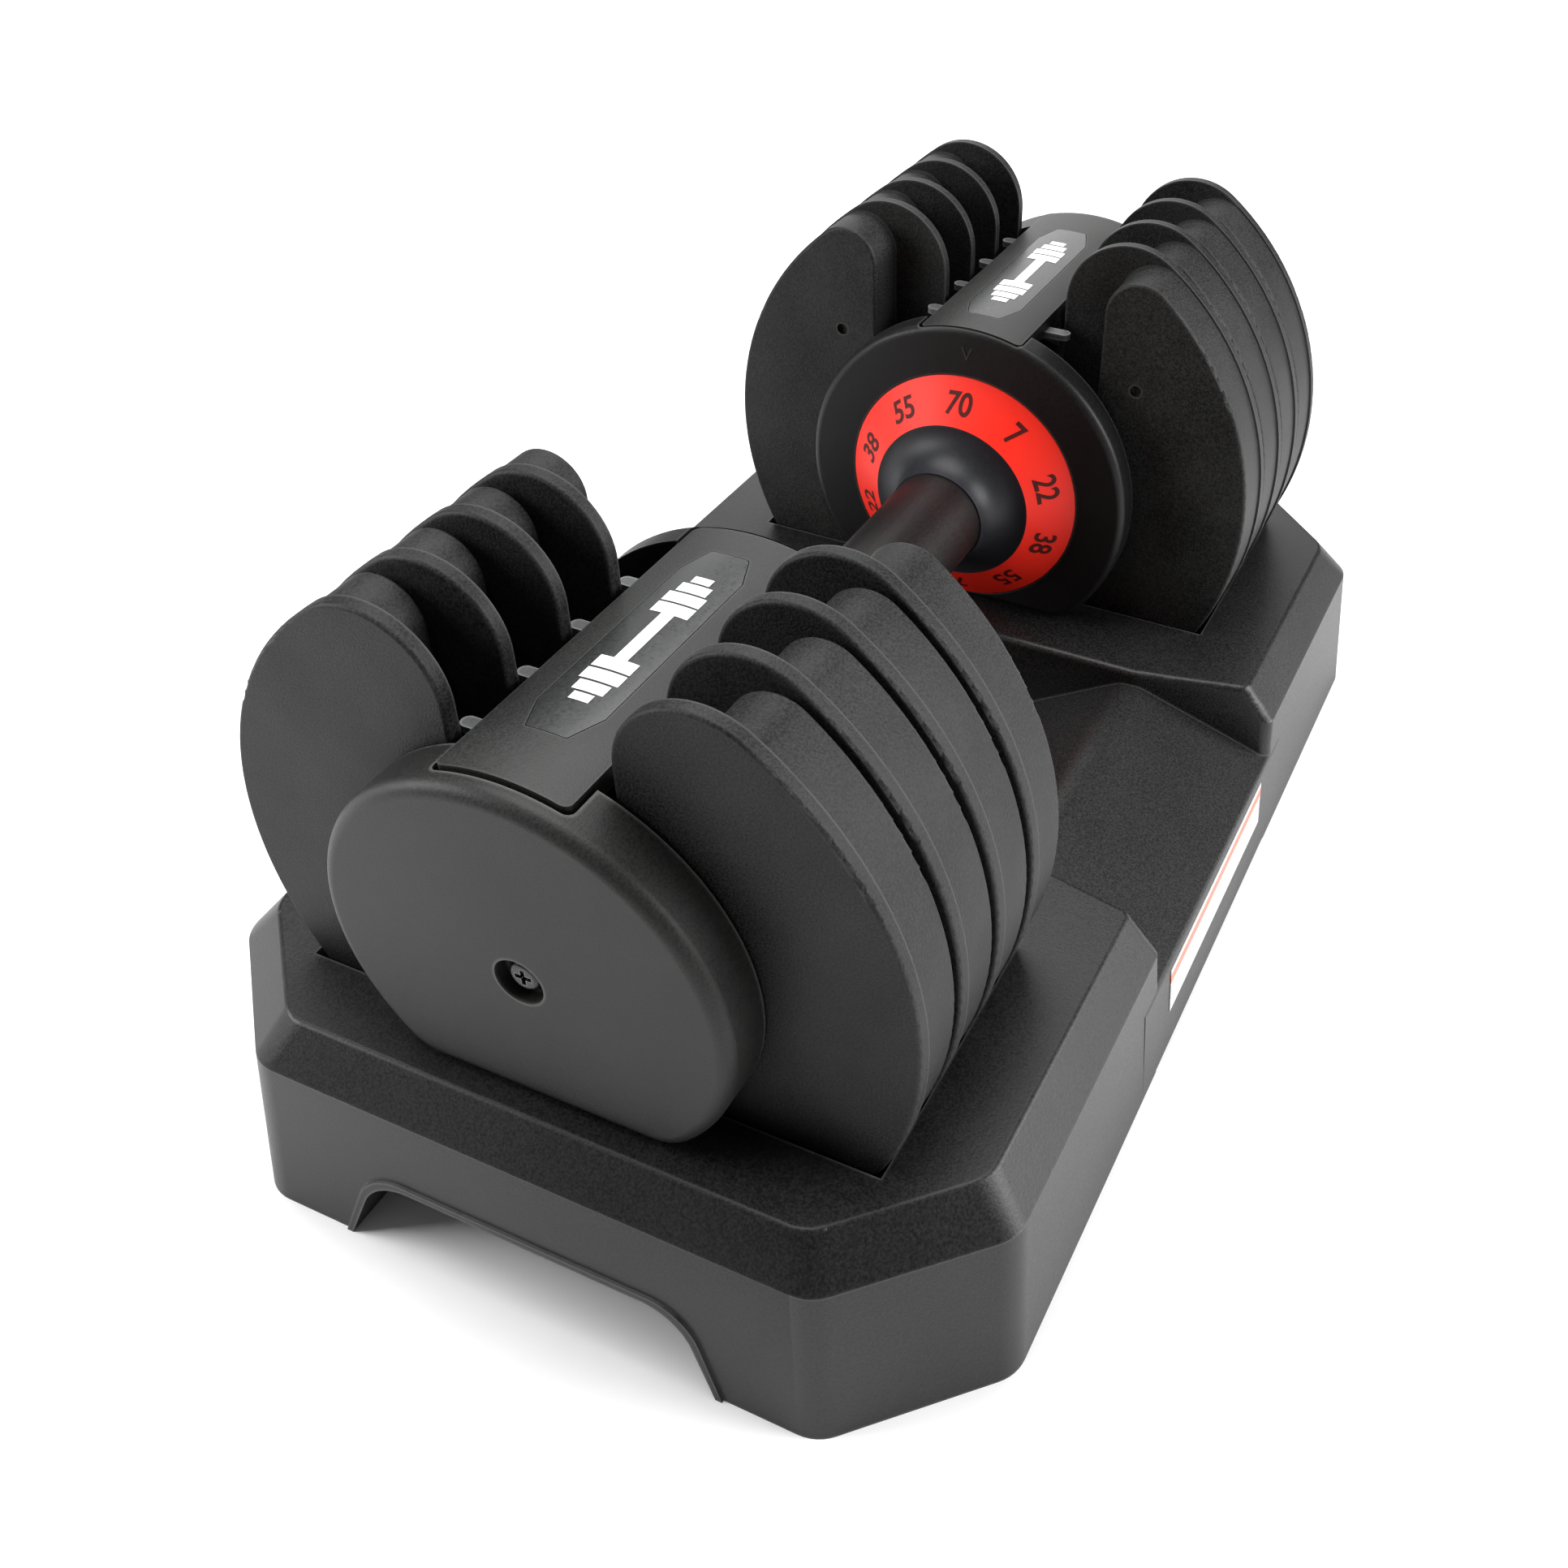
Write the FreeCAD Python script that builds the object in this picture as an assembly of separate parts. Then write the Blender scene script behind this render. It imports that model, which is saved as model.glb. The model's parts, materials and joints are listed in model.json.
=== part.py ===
# Adjustable dumbbell on its storage tray.
# Frame: millimetres, +Z up, X along the handle axis, -Y is the labelled side of the tray.
# Origin: centre of the tray footprint, on the surface it stands on.
# Radii and heights of the dumbbell are measured from the handle axis.
import FreeCAD
import Part
import math
import os

V = FreeCAD.Vector

# ---- clearances ----
RUN = 0.05                   # radial play of a running fit
FREE = 0.3                   # gap between pieces that move past each other
TOUCH = 0.01                 # tolerance when edges are picked by place
OVER = 1.0                   # how far a cutting form runs past the face it opens

# ---- turning handle ----
BEZEL_X = 76.0               # front face of the inner bezel: sets the handle length
ROD_R = 6.0
TUBE_R = 13.0
TUBE_WALL = 4.0
GRIP_R = 17.5
HUB_STEP = 0.7               # the hub starts this much larger than the grip
HUB_L = 13.4                 # flared length from the grip to the dial
HUB_SWELL = 3.2              # rise of the trumpet curve at its middle
HUB_LAG = 2.0                # how far past half way that middle lies
HUB_BACK = 6.4               # hub body behind the dial edge
DIAL_OUT_R = 45.6
DIAL_IN_R = 30.7
DIAL_RISE = 10.8             # axial length of the conical dial
DIAL_T = 2.5
SPOOL_R = 20.0
SPOOL_CLEAR = 0.6            # bore of bezel and webs around the spools
LUG_T = 7.0
LUG_FROM_FLANGE = 1.5
LUG_HALF_DEG = 8.0           # lug of the plate that is picked up last
STEP_DEG = 36.0              # dial step
NOTCH_COUNT = 10
WHEEL_T = 4.0
NOTCH_HALF = 2.4
NOTCH_DEPTH = 3.2
BUSH_L = 18.0

# ---- weight plates ----
PLATE_COUNT = 4              # plates at each end
PLATE_PITCH = 24.2
PLATE_GAP = 2.0              # free space between neighbouring plates
PLATE_R = 106.0
FLANGE_T = 4.6               # thin outer flange of a plate
FOOT_CUT = 16.0              # the flat foot is this far inside the outer circle
FOOT_R = 8.0
HORN_DROP = 15.5             # horn tops are this far below the outer circle
SLOT_CLEAR = 4.2             # flange slot beside the spool
BODY_INSET = 0.8             # the thick part is this much smaller in radius
BODY_DROP = 5.5              # and its horns this much lower
RECESS_R = 40.0              # round room for the selector lugs
HOOK_LIP = 4.0               # overhang of the two lifting hooks
HOOK_TOP = 28.0
BODY_SLOT_STEP = 4.8         # the slot above the hooks is this much wider than the recess
LUG_CLEAR = 0.5
PLATE_SOFT = 1.3
DIMPLE_R = 2.2
DIMPLE_DEPTH = 2.0
DIMPLE_Y = 59.0
DIMPLE_Z = 45.5

# ---- selector head ----
BEZEL_T = 10.5
BEZEL_BAND = 18.7            # width of the bezel face around the dial
BEZEL_SOFT = 3.0
BEZEL_WEB_T = 3.4
FLAT_LAND = 1.9              # bezel left between the dial opening and the flat
HEAD_FLAT_R = 15.0
STACK_GAP = 6.3              # between the bezel and the first plate
CAP_GAP = 1.2                # between the outermost plate and the cap
CAP_INSET = 1.6              # the cap is this much smaller in radius than the bezel
CAP_T = 17.7
CAP_SOFT = 4.5
CAP_FACE_T = 4.0
CAP_RIM_T = 6.5
CAP_BOSS_R = 12.0
SCREW_WELL_R = 7.6
SCREW_HEAD_R = 5.0
SCREW_HEAD_T = 3.5
SCREW_R = 2.5
SCREW_L = 20.0
SCREW_PLAY = 0.1
CROSS_HALF = 0.7             # cross recess of the screw head
CROSS_REACH = 2.6
CROSS_DEPTH = 1.8
BRIDGE_SINK = 0.5            # the bridge lies this much inside the head radius
BRIDGE_T = 5.8
BRIDGE_SIDE = 4.7            # play of the bridge in the flange slots
BRIDGE_CORNER = 2.5
BRIDGE_IN_LAP = 8.5          # how far it reaches into the bezel
BRIDGE_OUT_LAP = 10.5        # and into the cap
BRIDGE_GAP = 1.0
BADGE_IN_END = 4.0           # bridge left between the bezel and the badge
BADGE_OUT_END = 9.0          # and between the badge and the cap
BADGE_SIDE = 9.5             # and beside it
BADGE_CUT_L = 11.0
BADGE_CUT_W = 4.0
BADGE_CORNER = 1.0
BADGE_T = 1.5
BADGE_GAP = 0.2
SPINE_T = 5.8
SPINE_HALF = 11.0
WEB_T = 3.0
WEB_CLEAR = 1.0              # the web discs pass between the hooks
WEB_INSET = 1.1              # from the inner face of each plate
EAR_W = 4.6                  # ears that stand out beside the bridge, one pair for each plate
EAR_T = 2.2
EAR_DROP = 7.5               # their top below the top of the bridge
EAR_OUT = 9.0                # how far they reach beyond the bridge
EAR_GAP = 3.1                # between an ear and the flange of its plate

# ---- lock slider in each cap ----
SLIDER_T = 2.4
SLIDER_HALF = 11.0
SLIDER_PLAY = 0.4            # axial play on each side
SLIDER_DROP = 3.0            # travel when the dumbbell leaves the tray
TOOTH_HALF = 2.0
TOOTH_H = 5.0
SPRING_R = 2.3
WIRE_R = 0.45
SPRING_TURNS = 6
SPRING_H = 12.0
SEAT_T = 3.0

# ---- tray ----
WELL_FLOOR_Z = 26.2          # where the plates rest
WELL_CLEAR = 0.9             # tray well around the plates
WELL_END = 1.8
HEAD_CLEAR = 0.5             # between the head flats and the block tops
END_LAND = 23.6              # flat top beyond the plate well
SIDE_LAND = 15.8             # half width of the top beyond the plate radius
BEVEL_X = 10.5               # sloping shoulder below the flat top
BEVEL_Y = 11.2
BEVEL_Z = 13.0
DRAFT_X = 7.0                # lean of the steep outer wall, top to ground
DRAFT_Y = 4.8
TRAY_CORNER = 42.3           # corner cut of the footprint
WALL_CORNER = 41.5
TOP_CORNER = 36.5
BLOCK_SET = 20.0             # inner face of each block, inside the bezel face
BLOCK_SKEW = 9.0             # how far the outboard part of that face leans away
BLOCK_KNEE = 81.0            # half width where the lean starts
KNEE_R = 5.0
BLOCK_DRAFT = 3.0            # the inner face comes inward by this much at the ground
CORNER_R = 14.0              # upright corners
RIM_SOFT = 2.5               # rounding of the rim of the block tops
SADDLE_DRAFT = 3.2           # lean of the middle wall, edge to ground
SADDLE_EDGE_DROP = 28.5      # heights of the middle part, below the block tops
CREST_DROP = 4.0
CREST_Y = 79.0               # ridge on each side of the hand space
VALLEY_DROP = 30.5
VALLEY_HALF = 33.0
SADDLE_R = 14.0              # rounding of crest and valley
TOE_R = 0.9                  # smallest rounding at the ground
TRAY_SKIN = 3.0              # moulded wall thickness
ARCH_FOOT_HALF = 64.0        # finger cut-out in each end wall
ARCH_TOP_HALF = 52.0
ARCH_Z = 28.0
ARCH_R = 18.0
ARCH_LIP = 2.2               # width of the raised rim round the cut-out
ARCH_LIP_OUT = 0.9           # how far that rim stands off the wall
LABEL_L = 107.0              # sticker on the side wall
LABEL_H = 19.0
LABEL_T = 0.3
LABEL_Z = 17.5
PAD_R = 9.0                  # rubber feet
PAD_T = 3.0
PAD_IN_X = 40.5              # foot centre in from the tray ends
PAD_IN_Y = 37.8              # and in from its sides
POST_H = 2.2                 # small boss that releases the lock slider
POST_HALF_X = 1.0
POST_HALF_Y = 8.0

# ---- places that follow from the sizes above ----
SIDES = (("left", -1.0), ("right", 1.0))
BEZEL_BACK = BEZEL_X + BEZEL_T
DIAL_IN_X = BEZEL_X - DIAL_RISE
GRIP_HALF = DIAL_IN_X - HUB_L
BUSH_R = TUBE_R - TUBE_WALL
SLOT_HALF = SPOOL_R + SLOT_CLEAR
LUG_R = RECESS_R - LUG_CLEAR
HOOK_HALF = RECESS_R - HOOK_LIP
BODY_SLOT_HALF = RECESS_R + BODY_SLOT_STEP
STACK_X = BEZEL_BACK + STACK_GAP
PLATE_LAST_X = STACK_X + PLATE_COUNT * PLATE_PITCH - PLATE_GAP
PLATE_BOTTOM = PLATE_R - FOOT_CUT
PLATE_TOP = PLATE_R - HORN_DROP
HEAD_R = DIAL_OUT_R + BEZEL_BAND
HEAD_FLAT = DIAL_OUT_R + FLAT_LAND
CAP_R = HEAD_R - CAP_INSET
CAP_X = PLATE_LAST_X + CAP_GAP
CAP_FACE_X = CAP_X + CAP_T
WHEEL_X = CAP_X + CAP_GAP
WHEEL_END = WHEEL_X + WHEEL_T
SLIDER_X = WHEEL_END + SLIDER_PLAY
SLIDER_MID = SLIDER_X + SLIDER_T / 2
ROD_END = SLIDER_X + SLIDER_T + SLIDER_PLAY
WHEEL_R = SPOOL_R
TOOTH_LOW = WHEEL_R + FREE + SLIDER_DROP
SLIDER_TOP = TOOTH_LOW + TOOTH_H
SPRING_SEAT = SLIDER_TOP + SPRING_H
BRIDGE_R = HEAD_R - BRIDGE_SINK
BRIDGE_ROOF = BRIDGE_R - BRIDGE_T
BRIDGE_HALF = SLOT_HALF - BRIDGE_SIDE
WEB_R = HOOK_HALF - WEB_CLEAR
AXIS_Z = WELL_FLOOR_Z + FREE + PLATE_BOTTOM
TOP_Z = AXIS_Z - HEAD_FLAT - HEAD_CLEAR
WALL_Z = TOP_Z - BEVEL_Z
TOP_HALF_L = PLATE_LAST_X + WELL_END + END_LAND
TOP_HALF_W = PLATE_R + SIDE_LAND
WALL_HALF_L = TOP_HALF_L + BEVEL_X
WALL_HALF_W = TOP_HALF_W + BEVEL_Y
TRAY_HALF_L = WALL_HALF_L + DRAFT_X
TRAY_HALF_W = WALL_HALF_W + DRAFT_Y
BLOCK_X = BEZEL_X - BLOCK_SET
SADDLE_EDGE_Z = TOP_Z - SADDLE_EDGE_DROP
SADDLE_EDGE_Y = TRAY_HALF_W - SADDLE_DRAFT


def export(shape, name):
    shape.exportStep("parts/" + name + ".step")


def slab(face, x_low, x_high):
    """Flat outline in the plane x = 0 made solid between two places along X."""
    body = face.extrude(V(x_high - x_low, 0, 0))
    body.translate(V(x_low, 0, 0))
    return body


def cyl(radius, x_low, x_high):
    return Part.makeCylinder(radius, x_high - x_low, V(x_low, 0, 0), V(1, 0, 0))


def ring(outer, bore, x_low, x_high):
    return cyl(outer, x_low, x_high).cut(cyl(bore, x_low, x_high))


def block(x_low, x_high, y_low, y_high, z_low, z_high):
    return Part.makeBox(x_high - x_low, y_high - y_low, z_high - z_low, V(x_low, y_low, z_low))


def on_axis(shape):
    shape.translate(V(0, 0, AXIS_Z))
    return shape


def for_side(shape, sign):
    if sign > 0:
        return shape
    return shape.mirror(V(0, 0, 0), V(1, 0, 0))


def rounded_wire(points, radii):
    """Closed wire through the points with a tangent arc at every corner."""
    arcs = []
    for i, here in enumerate(points):
        to_prev = (points[i - 1] - here).normalize()
        to_next = (points[(i + 1) % len(points)] - here).normalize()
        half = to_prev.getAngle(to_next) / 2
        reach = radii[i] / math.tan(half)
        inward = (to_prev + to_next).normalize()
        middle = here + inward * (radii[i] / math.sin(half) - radii[i])
        arcs.append((here + to_prev * reach, middle, here + to_next * reach))
    edges = []
    for i, (start, middle, stop) in enumerate(arcs):
        edges.append(Part.Arc(start, middle, stop).toShape())
        edges.append(Part.makeLine(stop, arcs[(i + 1) % len(arcs)][0]))
    return Part.Wire(edges)


def edges_where(shape, test):
    return [edge for edge in shape.Edges if test(edge)]


def lowest(edge, letter):
    return min(getattr(vertex, letter) for vertex in edge.Vertexes)


def highest(edge, letter):
    return max(getattr(vertex, letter) for vertex in edge.Vertexes)


# ---------------------------------------------------------------- tray

def end_block(grow):
    """Solid outer form of the right-hand tray block, grown sideways by `grow`."""
    levels = (
        (0.0, TRAY_HALF_L, TRAY_HALF_W, TRAY_CORNER, BLOCK_DRAFT),
        (WALL_Z, WALL_HALF_L, WALL_HALF_W, WALL_CORNER, BLOCK_DRAFT * BEVEL_Z / TOP_Z),
        (TOP_Z, TOP_HALF_L, TOP_HALF_W, TOP_CORNER, 0.0),
    )
    radii = [CORNER_R, KNEE_R, CORNER_R, CORNER_R, CORNER_R, CORNER_R, KNEE_R, CORNER_R]
    wires = []
    for z, half_l, half_w, corner, draft in levels:
        inner = BLOCK_X - draft - grow
        length = half_l + grow
        width = half_w + grow
        skewed = inner + BLOCK_SKEW
        points = [
            V(inner, -BLOCK_KNEE, z),
            V(skewed, -width, z),
            V(length - corner, -width, z),
            V(length, corner - width, z),
            V(length, width - corner, z),
            V(length - corner, width, z),
            V(skewed, width, z),
            V(inner, BLOCK_KNEE, z),
        ]
        wires.append(rounded_wire(points, radii))
    return Part.makeLoft(wires, True, True)


def saddle(grow):
    """Low middle part with a crest on each side of the hand space."""
    edge_y = SADDLE_EDGE_Y + grow
    foot_y = TRAY_HALF_W + grow
    edge_z = SADDLE_EDGE_Z + grow
    crest_z = TOP_Z - CREST_DROP + grow
    valley_z = TOP_Z - VALLEY_DROP + grow
    points = [
        V(0, -foot_y, 0), V(0, foot_y, 0),
        V(0, edge_y, edge_z), V(0, CREST_Y, crest_z), V(0, VALLEY_HALF, valley_z),
        V(0, -VALLEY_HALF, valley_z), V(0, -CREST_Y, crest_z), V(0, -edge_y, edge_z),
    ]
    radii = [TOE_R, TOE_R, RIM_SOFT, SADDLE_R, SADDLE_R, SADDLE_R, SADDLE_R, RIM_SOFT]
    reach = BLOCK_X + BLOCK_SKEW + CORNER_R
    return slab(Part.Face(rounded_wire(points, radii)), -reach, reach)


def plate_well(skin):
    """Space under the right-hand plate stack, grown by `skin`."""
    drum = cyl(PLATE_R + WELL_CLEAR + skin, STACK_X - WELL_END - skin, PLATE_LAST_X + WELL_END + skin)
    floor = PLATE_BOTTOM + FREE + skin
    keep = block(0, TRAY_HALF_L, -TRAY_HALF_W, TRAY_HALF_W, -floor, 0)
    return on_axis(drum.common(keep))


def arch_prism(grow):
    """Finger cut-out of the right-hand end wall, grown by `grow`."""
    foot = ARCH_FOOT_HALF + grow
    top = ARCH_TOP_HALF + grow
    points = [
        V(0, -foot, -ARCH_Z), V(0, -foot, 0), V(0, -top, ARCH_Z + grow),
        V(0, top, ARCH_Z + grow), V(0, foot, 0), V(0, foot, -ARCH_Z),
    ]
    radii = [TOE_R, TOE_R, ARCH_R, ARCH_R, TOE_R, TOE_R]
    face = Part.Face(rounded_wire(points, radii))
    return slab(face, TOP_HALF_L - TRAY_SKIN, TRAY_HALF_L + TRAY_SKIN)


def hollow():
    """Space under the tray skin."""
    inner = end_block(-TRAY_SKIN)
    under = inner.fuse(for_side(inner, -1.0)).fuse(saddle(-TRAY_SKIN))
    roof = block(-TRAY_HALF_L, TRAY_HALF_L, -TRAY_HALF_W, TRAY_HALF_W, TOP_Z - TRAY_SKIN, TOP_Z)
    under = under.cut(roof)
    for side, sign in SIDES:
        under = under.cut(for_side(plate_well(TRAY_SKIN), sign))
    return under


def pad_centres():
    x = TRAY_HALF_L - PAD_IN_X
    y = TRAY_HALF_W - PAD_IN_Y
    return [V(x_sign * x, y_sign * y, 0) for x_sign in (-1, 1) for y_sign in (-1, 1)]


def arch_rim():
    """Raised rim round the right-hand finger cut-out."""
    rim = arch_prism(ARCH_LIP).common(end_block(ARCH_LIP_OUT))
    below = block(0, TRAY_HALF_L * 2, -TRAY_HALF_W, TRAY_HALF_W, -ARCH_Z * 2, 0)
    return rim.cut(below)


def release_post():
    """Boss on the block top that holds the right-hand lock slider up."""
    return block(SLIDER_MID - POST_HALF_X, SLIDER_MID + POST_HALF_X, -POST_HALF_Y, POST_HALF_Y,
                 TOP_Z - TRAY_SKIN, TOP_Z + POST_H)


def base_tray():
    right = end_block(0.0)
    rim = edges_where(right, lambda edge: lowest(edge, "Z") > TOP_Z - TOUCH)
    right = right.makeFillet(RIM_SOFT, rim)
    form = right.fuse(for_side(right, -1.0)).fuse(saddle(0.0)).removeSplitter()
    tray = form.cut(hollow())
    for centre in pad_centres():
        boss = Part.makeCylinder(PAD_R + TRAY_SKIN, TOP_Z, centre + V(0, 0, PAD_T))
        tray = tray.fuse(boss.common(form))
    for side, sign in SIDES:
        tray = tray.cut(for_side(plate_well(0.0), sign))
        tray = tray.fuse(for_side(arch_rim(), sign))
        tray = tray.cut(for_side(arch_prism(0.0), sign))
        tray = tray.fuse(for_side(release_post(), sign))
    return tray.removeSplitter()


def rubber_feet():
    return Part.makeCompound([Part.makeCylinder(PAD_R, PAD_T, centre) for centre in pad_centres()])


def side_label():
    """Sticker that lies on the leaning wall of the middle part."""
    slope = SADDLE_DRAFT / SADDLE_EDGE_Z
    card = block(-LABEL_L / 2, LABEL_L / 2, -LABEL_T, 0, 0, LABEL_H)
    card.rotate(V(0, 0, 0), V(1, 0, 0), -math.degrees(math.atan(slope)))
    card.translate(V(0, LABEL_Z * slope - TRAY_HALF_W, LABEL_Z))
    return card


# ---------------------------------------------------------------- weight plates

def horn(radius, top, slot_half):
    """Circle that rounds a horn: touches the slot wall, the top and the outer circle."""
    b = slot_half - top + radius
    c = slot_half * slot_half + top * top - radius * radius
    r = -b + math.sqrt(b * b - c)
    return slot_half + r, top - r, r


def plate_layer(radius, top, slot_half, x_low, x_high, slot_edges):
    """One thickness of a plate; slot_edges close the outline between the two slot walls."""
    hy, hz, hr = horn(radius, top, slot_half)
    foot = math.sqrt(radius * radius - PLATE_BOTTOM * PLATE_BOTTOM)
    lean = math.atan2(hz, hy)
    crown_angle = (lean + math.pi) / 2
    low = V(0, foot, -PLATE_BOTTOM)
    side = V(0, radius, 0)
    touch = V(0, radius * math.cos(lean), radius * math.sin(lean))
    crown = V(0, hy + hr * math.cos(crown_angle), hz + hr * math.sin(crown_angle))
    wall = V(0, slot_half, hz)
    first = slot_edges[0].firstVertex(True).Point
    half = [
        Part.Arc(low, side, touch).toShape(),
        Part.Arc(touch, crown, wall).toShape(),
        Part.makeLine(wall, first),
    ]
    other = [edge.mirror(V(0, 0, 0), V(0, 1, 0)) for edge in half]
    foot_line = Part.makeLine(V(0, -foot, -PLATE_BOTTOM), low)
    outline = Part.Wire([foot_line] + half + slot_edges + other[::-1])
    return slab(Part.Face(outline), x_low, x_high)


def flange_slot():
    """Round-bottomed slot of the flange."""
    return [Part.Arc(V(0, SLOT_HALF, 0), V(0, 0, -SLOT_HALF), V(0, -SLOT_HALF, 0)).toShape()]


def body_slot():
    """Wide slot, the two hooks and the round lug recess of the thick part."""
    lip = math.sqrt(RECESS_R * RECESS_R - HOOK_HALF * HOOK_HALF)
    shelf = V(0, BODY_SLOT_HALF, HOOK_TOP)
    tip = V(0, HOOK_HALF, HOOK_TOP)
    under = V(0, HOOK_HALF, lip)
    half = [Part.makeLine(shelf, tip), Part.makeLine(tip, under)]
    other = [edge.mirror(V(0, 0, 0), V(0, 1, 0)) for edge in half]
    recess = Part.Arc(under, V(0, 0, -RECESS_R), V(0, -HOOK_HALF, lip)).toShape()
    return half + [recess] + other[::-1]


def round_feet(layer, thickness):
    """Rounds the two outer corners of the flat foot."""
    def is_corner(edge):
        at_foot = highest(edge, "Z") < TOUCH - PLATE_BOTTOM
        return at_foot and abs(edge.Length - thickness) < TOUCH
    return layer.makeFillet(FOOT_R, edges_where(layer, is_corner))


def outer_edge(edge):
    """True for edges on the outer outline, not round the slot."""
    middle = edge.valueAt((edge.FirstParameter + edge.LastParameter) / 2)
    far = math.hypot(middle.y, middle.z) > (RECESS_R + PLATE_BOTTOM) / 2
    return far and abs(middle.y) > SLOT_HALF or middle.z < FOOT_R - PLATE_BOTTOM


def plate(index):
    """Weight plate number `index`, counted from the handle outward (right-hand end)."""
    inner = STACK_X + (index - 1) * PLATE_PITCH
    outer = inner + PLATE_PITCH - PLATE_GAP
    seam = outer - FLANGE_T
    body_r = PLATE_R - BODY_INSET
    flange = plate_layer(PLATE_R, PLATE_TOP, SLOT_HALF, seam, outer, flange_slot())
    body = plate_layer(body_r, PLATE_TOP - BODY_DROP, BODY_SLOT_HALF, inner, seam, body_slot())
    flange = round_feet(flange, outer - seam)
    body = round_feet(body, seam - inner)
    rim = edges_where(flange, lambda edge: lowest(edge, "X") > outer - TOUCH)
    flange = flange.makeFillet(PLATE_SOFT, rim)
    rim = edges_where(body, lambda edge: highest(edge, "X") < inner + TOUCH and outer_edge(edge))
    body = body.makeFillet(PLATE_SOFT, rim)
    whole = flange.fuse(body)
    for side in (-1, 1):
        dimple = cyl(DIMPLE_R, inner - OVER, inner + DIMPLE_DEPTH)
        dimple.translate(V(0, side * DIMPLE_Y, DIMPLE_Z))
        whole = whole.cut(dimple)
    return on_axis(whole)


# ---------------------------------------------------------------- selector head (fixed pieces)

def head_disc(radius, x_low, x_high):
    """Round disc with a flat chord at the bottom and rounded chord ends."""
    below = block(x_low, x_high, -radius, radius, -radius * 2, -HEAD_FLAT)
    disc = cyl(radius, x_low, x_high).cut(below)
    ends = edges_where(disc, lambda edge: abs(edge.Length - (x_high - x_low)) < TOUCH
                       and highest(edge, "Z") < TOUCH - HEAD_FLAT)
    return disc.makeFillet(HEAD_FLAT_R, ends)


def tall_prism(points, corner):
    """Top-view outline with rounded corners, made into an upright prism."""
    return Part.Face(rounded_wire(points, [corner] * len(points))).extrude(V(0, 0, HEAD_R * 2))


def bridge_plan(grow):
    """Upright prism over the bridge, grown sideways by `grow`."""
    start = BEZEL_BACK - BRIDGE_IN_LAP - grow
    stop = CAP_X + BRIDGE_OUT_LAP + grow
    wide = BRIDGE_HALF + grow
    points = [V(start, -wide, 0), V(stop, -wide, 0), V(stop, wide, 0), V(start, wide, 0)]
    return tall_prism(points, BRIDGE_CORNER)


def badge_plan(grow):
    """Upright prism over the badge, a long octagon, grown sideways by `grow`."""
    start = BEZEL_BACK + BADGE_IN_END - grow
    stop = CAP_X - BADGE_OUT_END + grow
    wide = BRIDGE_HALF - BADGE_SIDE + grow
    slim = wide - BADGE_CUT_W
    half = [(start, slim), (start + BADGE_CUT_L, wide), (stop - BADGE_CUT_L, wide), (stop, slim)]
    points = [V(x, -y, 0) for x, y in half] + [V(x, y, 0) for x, y in reversed(half)]
    return tall_prism(points, BADGE_CORNER)


def bridge_seat():
    """What the bridge ends take out of the bezel and cap rims."""
    floor = BRIDGE_ROOF - BRIDGE_GAP / 2
    shell = ring(HEAD_R * 2, floor, BEZEL_X - OVER, CAP_FACE_X + OVER)
    return shell.common(bridge_plan(BRIDGE_GAP))


def inner_bezel():
    disc = head_disc(HEAD_R, BEZEL_X, BEZEL_BACK)
    front = edges_where(disc, lambda edge: highest(edge, "X") < BEZEL_X + TOUCH)
    disc = disc.makeFillet(BEZEL_SOFT, front)
    disc = disc.cut(cyl(DIAL_OUT_R + FREE, BEZEL_X - OVER, BEZEL_BACK - BEZEL_WEB_T))
    disc = disc.cut(cyl(SPOOL_R + SPOOL_CLEAR, BEZEL_X, BEZEL_BACK + OVER))
    return on_axis(disc.cut(bridge_seat()))


def outer_cap():
    """Closing cap: a shell with a boss for the rod end, a spring seat and a slider slot."""
    disc = head_disc(CAP_R, CAP_X, CAP_FACE_X)
    front = edges_where(disc, lambda edge: lowest(edge, "X") > CAP_FACE_X - TOUCH)
    disc = disc.makeFillet(CAP_SOFT, front)
    ceiling = CAP_FACE_X - CAP_FACE_T
    rim_floor = CAP_RIM_T - HEAD_FLAT
    inside = cyl(CAP_R - CAP_RIM_T, CAP_X - OVER, ceiling)
    inside = inside.cut(block(CAP_X - OVER, ceiling, -CAP_R, CAP_R, -CAP_R, rim_floor))
    disc = disc.cut(inside)
    disc = disc.fuse(cyl(CAP_BOSS_R, ROD_END, ceiling + OVER))
    seat = block(SLIDER_MID - SPRING_R * 2, ceiling + OVER, -SPRING_R * 2, SPRING_R * 2,
                 SPRING_SEAT, SPRING_SEAT + SEAT_T)
    disc = disc.fuse(seat)
    disc = disc.cut(cyl(SCREW_WELL_R, ROD_END + CAP_FACE_T, CAP_FACE_X + OVER))
    disc = disc.cut(cyl(SCREW_R + SCREW_PLAY, ROD_END - OVER, CAP_FACE_X))
    half = SLIDER_HALF + FREE
    slot = block(SLIDER_X - FREE, SLIDER_X + SLIDER_T + FREE, -half, half, -CAP_R, rim_floor + OVER)
    return on_axis(disc.cut(slot).cut(bridge_seat()))


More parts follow.
